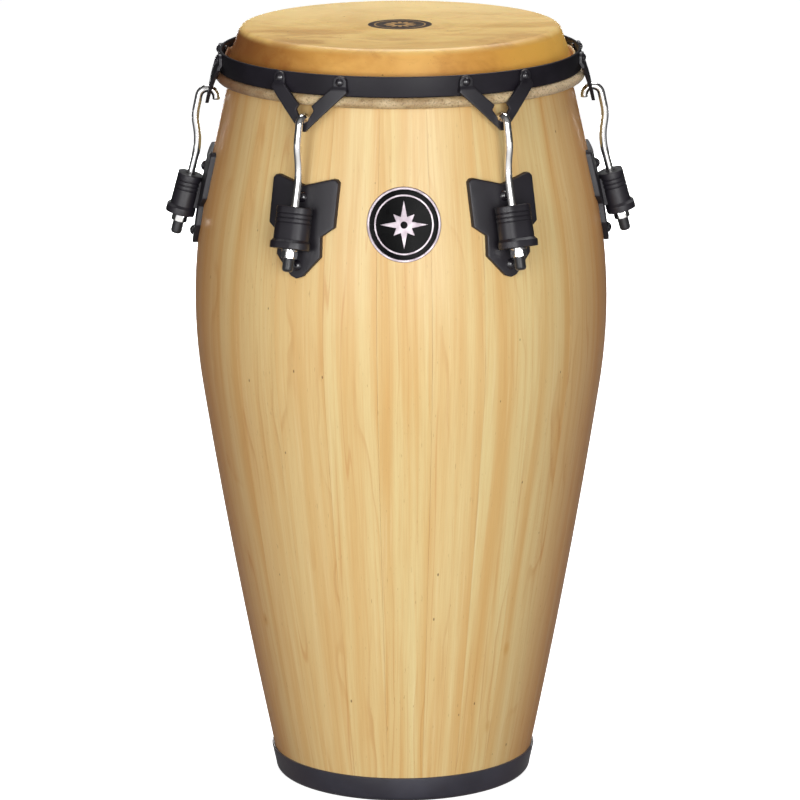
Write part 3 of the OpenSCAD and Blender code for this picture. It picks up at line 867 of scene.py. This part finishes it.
def lug_plates():
    """The winged plates under the lugs, their corners and front edge rounded."""
    half = [(0, 507.8), (6, 509.9), (22.4, 528), (21.5, 546.3), (33.4, 555), (33.6, 594.5), (31, 597.2),
            (27.5, 597.6), (0, 590.4)]
    outline = rounded(mirrored(half), 1.6)
    part = plate(outline, PLATE_T - GLUE, 1.1, plate_point)
    for i in STATIONS:
        obj = piece(f"plate_{i}", [at_station(part, i)], "shell", BLACK)
        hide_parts(f"lug_plate_{i}")


def oval_ring(grow, down):
    """A ring of the barrel's oval section, grown outwards, at a distance down the axis."""
    count = BARREL_COUNT
    flat = OVAL_HALF_W - OVAL_R
    shift = 0.47 * max(0, grow)
    ring = []
    for k in range(count):
        a = 2 * math.pi * (k + 0.5) / count
        side = flat if math.sin(a) > 0 else -flat
        r = OVAL_R + grow
        ring.append((shift + r * math.cos(a), side + r * math.sin(a), -down))
    return ring


def bore_ring(down, r, count=BARREL_COUNT):
    """A round ring about the rod's axis at a distance down it."""
    turns = [2 * math.pi * (k + 0.5) / count for k in range(count)]
    return [(r * math.cos(a), r * math.sin(a), -down) for a in turns]


def barrel(i):
    """A cast oval barrel with three grooves near its top and a flared foot, webbed to its plate."""
    groove, flare, face = 0.8, 1.9, -3.0
    wall = [(face, BARREL_TOP), (0, BARREL_TOP)]
    for top in (7.6, 11.6, 15.6):
        wall += [(0, top), (-groove, top + 0.25), (-groove, top + 0.75), (0, top + 1)]
    wall += [(0, 31.2), (0.8, 32.4), (flare, 33.8), (flare, BARREL_END), (face, BARREL_END)]
    rows = [oval_ring(grow, down) for grow, down in rounded(wall, 0.9, closed=False, steps=4)]
    mouth = 0.6
    rows += [bore_ring(BARREL_END, BORE_R + mouth), bore_ring(BARREL_END - mouth, BORE_R)]
    rows += [bore_ring(BARREL_TOP + mouth, BORE_R), bore_ring(BARREL_TOP, BORE_R + mouth)]
    body = moved(skin(rows, close_rows=True), rod_frame(0))
    web_in, web_out, web_half = -14.5, -2, 11
    corners = [(web_in, -web_half), (web_out, -web_half), (web_out, web_half), (web_in, web_half)]
    web_box = rounded(corners, 1.5)
    web_rows = [[(x, y, z) for x, y in web_box] for z in (-30.5, -30, -6, -5.5)]
    web = moved(skin(web_rows, cap_ends=True), rod_frame(0))
    obj = piece(f"barrel_{i}", [at_station(body, i), at_station(web, i)], "shell", BLACK)
    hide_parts(f"lug_barrel_{i}")


def bolts():
    """Domed bolts through the lug plates."""
    parts = []
    backing_t, nut_h, spare = 3, 5, 4
    shank = WALL + backing_t + PLATE_T + nut_h + spare
    for i in STATIONS:
        for z in BOLT_ZS:
            seat = bolt_frame(z) @ Matrix.Translation((0, 0, PLATE_T + GLUE))
            parts.append(at_station(moved(dome(4.9, 3.6, 3, shank), seat), i))
    obj = piece("bolts", parts, "shell", BOLT_BLACK)
    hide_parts("plate_bolts")


# ---- Tuning hooks and nuts ----

def rod_path():
    """(radius, height) points down the middle of a hook rod, and the rod's radius at each."""
    tip = (CROOK.x - CROOK_R, CROOK.y)
    path = [((tip[0], tip[1] - TIP_L), ROD_R - 0.9), ((tip[0], tip[1] - TIP_L + 0.35), ROD_R - 0.3),
            ((tip[0], tip[1] - TIP_L + 0.9), ROD_R)]
    lead = math.degrees(LEAD_A)
    path += [(p, ROD_R) for p in arc(CROOK.x, CROOK.y, CROOK_R, 180, lead, 20)]
    start = Vector(path[-1][0]) + LEAD_L * Vector((math.sin(LEAD_A), -math.cos(LEAD_A)))
    c1 = start - IN_ARC * Vector((math.cos(LEAD_A), math.sin(LEAD_A)))
    path += [(p, ROD_R) for p in arc(c1.x, c1.y, IN_ARC, lead, -math.degrees(IN_A), 8)]
    end1 = Vector(path[-1][0])
    tilt = math.degrees(ROD_TILT)
    swing = OUT_ARC * Vector((math.cos(IN_A) - math.cos(ROD_TILT), -math.sin(ROD_TILT) - math.sin(IN_A)))
    run = (end1.x + swing.x - AXIS.x + (end1.y + swing.y - AXIS.z) * math.tan(ROD_TILT))
    run /= math.sin(IN_A) + math.cos(IN_A) * math.tan(ROD_TILT)
    start2 = end1 - run * Vector((math.sin(IN_A), math.cos(IN_A)))
    c2 = start2 + OUT_ARC * Vector((math.cos(IN_A), -math.sin(IN_A)))
    path += [(p, ROD_R) for p in arc(c2.x, c2.y, OUT_ARC, 180 - math.degrees(IN_A), 180 + tilt, 10)]
    down = Vector((math.sin(ROD_TILT), -math.cos(ROD_TILT)))
    base = Vector((AXIS.x, AXIS.z))
    ends = [(THREAD_TOP - 0.5, ROD_R), (THREAD_TOP, THREAD_R), (ROD_END - 0.6, THREAD_R),
            (ROD_END, THREAD_R - 0.6)]
    path += [(tuple(base + down * reach), radius) for reach, radius in ends]
    return path


def hook(i):
    """A bent hook rod, swept round its path."""
    path = rod_path()
    sides = 28
    turns = [2 * math.pi * s / sides for s in range(sides)]
    across = Vector((0, 1, 0))
    rows = []
    for k, ((r, z), radius) in enumerate(path):
        before = Vector(path[max(0, k - 1)][0])
        after = Vector(path[min(len(path) - 1, k + 1)][0])
        along = (after - before).normalized()
        normal = Vector((along.y, 0, -along.x))
        ring = [math.cos(a) * normal + math.sin(a) * across for a in turns]
        rows.append([tuple(Vector((r, 0, z)) + radius * way) for way in ring])
    obj = piece(f"hook_rod_{i}", [at_station(skin(rows, cap_ends=True), i)], f"hook_{i}", CHROME)
    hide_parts(f"tension_hook_{i}")


def cap(i):
    """A rubber cap pushed on the rod's end."""
    end_round, lip_round, depth, middle = 3, 0.4, 9, 0.2
    shape = [(middle, -CAP_L)] + arc(CAP_R - end_round, -CAP_L + end_round, end_round, -90, 0, 8)
    shape += [(CAP_R, -lip_round), (CAP_R - lip_round, 0), (THREAD_R + GLUE, 0)]
    shape += [(THREAD_R + GLUE, -depth), (middle, -depth)]
    part = moved(lathe(shape, 48), rod_frame(CAP_TOP))
    obj = piece(f"cap_{i}", [at_station(part, i)], f"hook_{i}", CAP_RUBBER)
    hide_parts(f"rod_cap_{i}")


def nut(i):
    """A hexagon tuning nut, its corners chamfered at both ends."""
    count = 96
    corner = NUT_W / 2 / math.cos(math.radians(30))
    rise = (corner - NUT_W / 2) * math.tan(math.radians(30))
    rows = [bore_ring(NUT_TOP, THREAD_R + GLUE, count)]
    chamfer = [(rise * share, NUT_W / 2 + (corner - NUT_W / 2) * share) for share in (0, 0.35, 0.7, 1)]
    rows += [hex_ring(NUT_TOP + inwards, r, count) for inwards, r in chamfer]
    rows += [hex_ring(NUT_TOP + NUT_H - inwards, r, count) for inwards, r in reversed(chamfer)]
    rows.append(bore_ring(NUT_TOP + NUT_H, THREAD_R + GLUE, count))
    part = moved(skin(rows, close_rows=True), rod_frame(0))
    obj = piece(f"hex_nut_{i}", [at_station(part, i)], f"nut_{i}", CHROME, sharp=24)
    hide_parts(f"tuning_nut_{i}")


def hex_ring(down, limit, count):
    """A hexagon's ring held inside a chamfer's radius."""
    ring = []
    for k in range(count):
        a = 2 * math.pi * (k + 0.5) / count
        flat = math.radians(math.degrees(a) % 60 - 30)
        r = min((NUT_W / 2 - 0.05) / math.cos(flat), max(limit, NUT_W / 2 - 0.4))
        ring.append((r * math.cos(a), r * math.sin(a), -down))
    return ring


def washers():
    """Tuning washers under the barrels."""
    ring = rounded([(4.3, 0), (7.5, 0), (7.5, WASHER_T), (4.3, WASHER_T)], 0.35)
    part = moved(lathe(ring, 64), rod_frame(BARREL_END + WASHER_T))
    obj = piece("washers", [at_station(part, i) for i in STATIONS], "shell", CHROME)
    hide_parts("tuning_washers")


# ---- Badge ----

def badge_point(u, v, d):
    """A place on the badge, which faces -Y: sideways, up and outwards from the shell."""
    out = side_r(v, GLUE + d)
    return (u, -math.sqrt(out ** 2 - u ** 2), v)


def raised_point(u, v, d):
    """A place on the badge's raised ornament, just proud of its black face."""
    return badge_point(u, v, DISC_T + 0.02 + d)


def badge_circle(inner, section, place):
    """A ring of a (outwards, proud) section round the badge's centre."""
    count = 160
    rows = []
    for k in range(count):
        a = 2 * math.pi * k / count
        rows.append([place((inner + s) * math.cos(a), BADGE_Z + (inner + s) * math.sin(a), d)
                     for s, d in section])
    return skin(rows, close_rows=True)


def badge_ground():
    """A silver ring with a domed edge round a black enamel disc."""
    section = [(0, 0), (RING_W, 0), (RING_W, RING_T * 0.6), (RING_W * 0.8, RING_T), (RING_W * 0.15, RING_T),
               (0, RING_T * 0.8)]
    edge = badge_circle(BADGE_R - RING_W, rounded(section, 0.3), badge_point)
    ring = piece("badge_ring", [edge], "shell", SILVER)
    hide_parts("badge_bezel")
    outline = arc(0, BADGE_Z, BADGE_R - RING_W - GLUE, 0, 360 - 3, 119)
    face = plate(outline, DISC_T, 0.3, badge_point)
    disc = piece("badge_disc", [face], "shell", ENAMEL)
    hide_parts("badge_face")


def badge_ornament():
    """A raised eight-point star with a small black hub, inside a thin raised circle."""
    long_tip, short_tip, notch = 21.5, 13.5, 7.5
    star = []
    for k in range(16):
        a = math.pi * k / 8 + math.pi / 2
        r = (long_tip, notch, short_tip, notch)[k % 4]
        star.append((r * math.cos(a), BADGE_Z + r * math.sin(a)))
    circle_r, circle_w, circle_t = 25.2, 1.3, 0.3
    section = [(0, 0), (circle_w, 0), (circle_w, circle_t), (0, circle_t)]
    circle = badge_circle(circle_r, section, raised_point)
    parts = [plate(star, 0.45, 0.15, raised_point, cell=2.0), circle]
    piece("badge_star", parts, "shell", SILVER)
    hub = arc(0, BADGE_Z, 3.2, 0, 350, 35)
    hub_part = plate(hub, 0.5, 0.2, lambda u, v, d: raised_point(u, v, d + 0.4), cell=1.5)
    piece("badge_hub", [hub_part], "shell", ENAMEL)


# ---- Hardware kept from the CAD ----

def keep(node, material):
    """Gives a CAD node its finish, its shape left as it is."""
    obj = frame["nodes"][node]
    obj.data.materials.clear()
    obj.data.materials.append(material)


# ---- Studio ----

def softbox(name, place, aim, size, power):
    """A soft rectangular light at a place, turned to face another, that the camera doesn't see."""
    light = bpy.data.lights.new(name, "AREA")
    light.shape = "RECTANGLE"
    light.size, light.size_y = size
    light.energy = power
    obj = bpy.data.objects.new(name, light)
    obj.visible_camera = False
    obj.location = place
    obj.rotation_euler = (Vector(aim) - Vector(place)).to_track_quat("-Z", "Y").to_euler()
    bpy.context.scene.collection.objects.link(obj)


def floor():
    """A wide pale floor."""
    mesh = bpy.data.meshes.new("floor")
    reach = 40
    mesh.from_pydata([(-reach, -reach, 0), (reach, -reach, 0), (reach, reach, 0), (-reach, reach, 0)], [],
                     [(0, 1, 2, 3)])
    n = Nodes("floor_paper")
    rays = n.node("LightPath").outputs
    paper = n.mix(rays["Is Camera Ray"], (0.22, 0.22, 0.22, 1), (0.93, 0.93, 0.93, 1))
    ahead = n.node("SeparateXYZ", Vector=n.place()).outputs[1]
    mirrored_glow = n.math("MULTIPLY", rays["Is Glossy Ray"], n.fade(ahead, -0.4, -1.6, 0.0, 0.75))
    glow = n.math("MULTIPLY_ADD", rays["Is Camera Ray"], 0.85, mirrored_glow)
    n.finish(Base_Color=paper, Roughness=0.9, Specular_IOR_Level=0.1, Emission_Color=(1, 1, 1, 1),
             Emission_Strength=glow)
    mesh.materials.append(n.material)
    obj = bpy.data.objects.new("floor", mesh)
    bpy.context.scene.collection.objects.link(obj)


def world():
    """Soft light, strongest from the front, over a white backdrop that only the camera sees."""
    sky = bpy.data.worlds.new("studio")
    sky.use_nodes = True
    bpy.context.scene.world = sky
    tree = sky.node_tree
    back = tree.nodes["Background"]
    back.inputs["Color"].default_value = (1, 1, 1, 1)
    facing = tree.nodes.new("ShaderNodeTexCoord")
    split = tree.nodes.new("ShaderNodeSeparateXYZ")
    level = tree.nodes.new("ShaderNodeMapRange")
    level.interpolation_type = "SMOOTHSTEP"
    for name, value in (("From Min", 0.1), ("From Max", -0.9), ("To Min", 0.05), ("To Max", 0.4)):
        level.inputs[name].default_value = value
    rays = tree.nodes.new("ShaderNodeLightPath")
    seen = tree.nodes.new("ShaderNodeMath")
    seen.operation = "MAXIMUM"
    tree.links.new(facing.outputs["Generated"], split.inputs[0])
    tree.links.new(split.outputs[1], level.inputs["Value"])
    tree.links.new(level.outputs["Result"], seen.inputs[0])
    tree.links.new(rays.outputs["Is Camera Ray"], seen.inputs[1])
    tree.links.new(seen.outputs[0], back.inputs["Strength"])


def camera():
    """The view from the front and a little above, through a long lens."""
    away, height = 4.6176, 1.44415
    pitch, azimuth, roll = math.radians(76.738), math.radians(-0.9), math.radians(-0.24)
    data = bpy.data.cameras.new("camera")
    data.lens = 228.0
    data.sensor_width = 36
    data.shift_x = -0.0019
    data.clip_end = 200
    obj = bpy.data.objects.new("camera", data)
    bpy.context.scene.collection.objects.link(obj)
    obj.matrix_world = (Matrix.Rotation(azimuth, 4, "Z") @ Matrix.Translation((0, -away, height))
                        @ Matrix.Rotation(pitch, 4, "X") @ Matrix.Rotation(roll, 4, "Z"))
    bpy.context.scene.camera = obj


shell_staves()
foot()
head()
rim_band()
rivets()
bolts()
washers()
badge_ground()
badge_ornament()
claws()
lug_plates()
for i in STATIONS:
    barrel(i)
    hook(i)
    cap(i)
    nut(i)
for node in ("backing_plates", "plate_washers", "plate_nuts", "flesh_hoop"):
    keep(node, ZINC)

floor()
world()
softbox("key", (0.8, -3.6, 1.0), (0, 0, 0.35), (1.6, 1.9), 79)
softbox("fill", (-1.6, -3.2, 0.95), (0, 0, 0.35), (1.4, 1.8), 43)
softbox("top", (0.2, 0.9, 2.6), (0, 0, 0.7), (1.8, 1.4), 51)
softbox("back", (0, 3.2, 0.35), (0, 0, 0.35), (1.3, 0.6), 36)
camera()
bpy.context.scene.view_settings.view_transform = "Standard"
